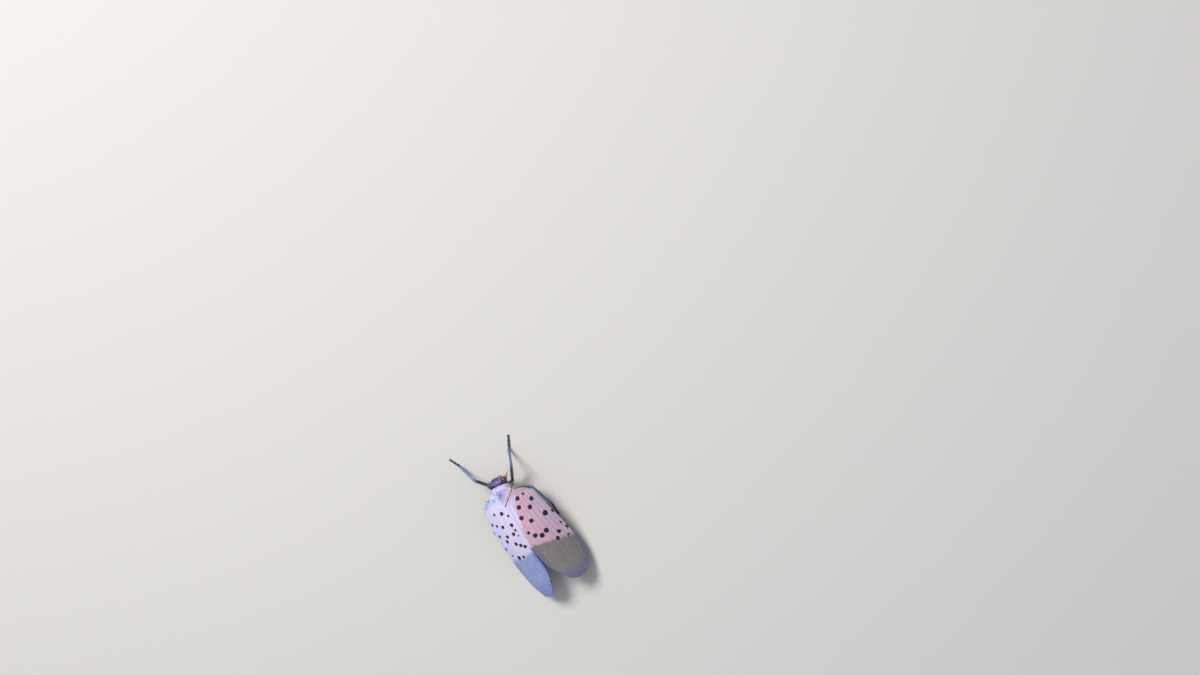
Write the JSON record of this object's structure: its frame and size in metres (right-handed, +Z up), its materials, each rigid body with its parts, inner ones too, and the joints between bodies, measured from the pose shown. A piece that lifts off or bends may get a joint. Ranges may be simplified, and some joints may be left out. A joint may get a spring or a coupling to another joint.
{
  "type": "spotted lanternfly",
  "caption": "Life-size spotted lanternfly at rest on its legs, grey-pink black-spotted forewings folded like a roof over red hindwings.",
  "frame": {"origin": "on the floor, under the middle of the whole animal's bounding box", "axes": "+Z up, -Y towards the head, +X towards the animal's left"},
  "size_m": [0.0176, 0.0318, 0.0084],
  "materials": {
    "head": "dark slate cuticle with a powdery violet bloom",
    "eye": "glossy faceted compound eye, dark red-brown",
    "antenna": "orange-red antennal base with a thin dark bristle",
    "pronotum": "grey-pink cuticle with a waxy bloom",
    "thorax": "grey-mauve cuticle with dark blue-violet patches",
    "abdomen": "yellow with broad black bands and a waxy bloom",
    "forewing": "leathery grey-pink wing with black spots and a finely netted grey tip",
    "hindwing": "red with black spots, a white band and a black tip",
    "leg": "black cuticle with a blue sheen"
  },
  "bodies": {
    "root": {"forewing_left": "forewing", "hindwing_left": "hindwing", "forewing_right": "forewing", "hindwing_right": "hindwing", "head": "head", "eye_left": "eye", "antenna_left": "antenna", "eye_right": "eye", "antenna_right": "antenna", "rostrum": "head", "pronotum": "pronotum", "thorax": "thorax", "tegula_left": "pronotum", "tegula_right": "pronotum", "abdomen": "abdomen", "fore_coxa_left": "leg", "fore_femur_left": "leg", "fore_tibia_left": "leg", "fore_foot_left": "leg", "fore_coxa_right": "leg", "fore_femur_right": "leg", "fore_tibia_right": "leg", "fore_foot_right": "leg", "mid_coxa_left": "leg", "mid_femur_left": "leg", "mid_tibia_left": "leg", "mid_foot_left": "leg", "mid_coxa_right": "leg", "mid_femur_right": "leg", "mid_tibia_right": "leg", "mid_foot_right": "leg", "hind_coxa_left": "leg", "hind_femur_left": "leg", "hind_tibia_left": "leg", "hind_foot_left": "leg", "hind_coxa_right": "leg", "hind_femur_right": "leg", "hind_tibia_right": "leg", "hind_foot_right": "leg"}
  },
  "joints": []
}
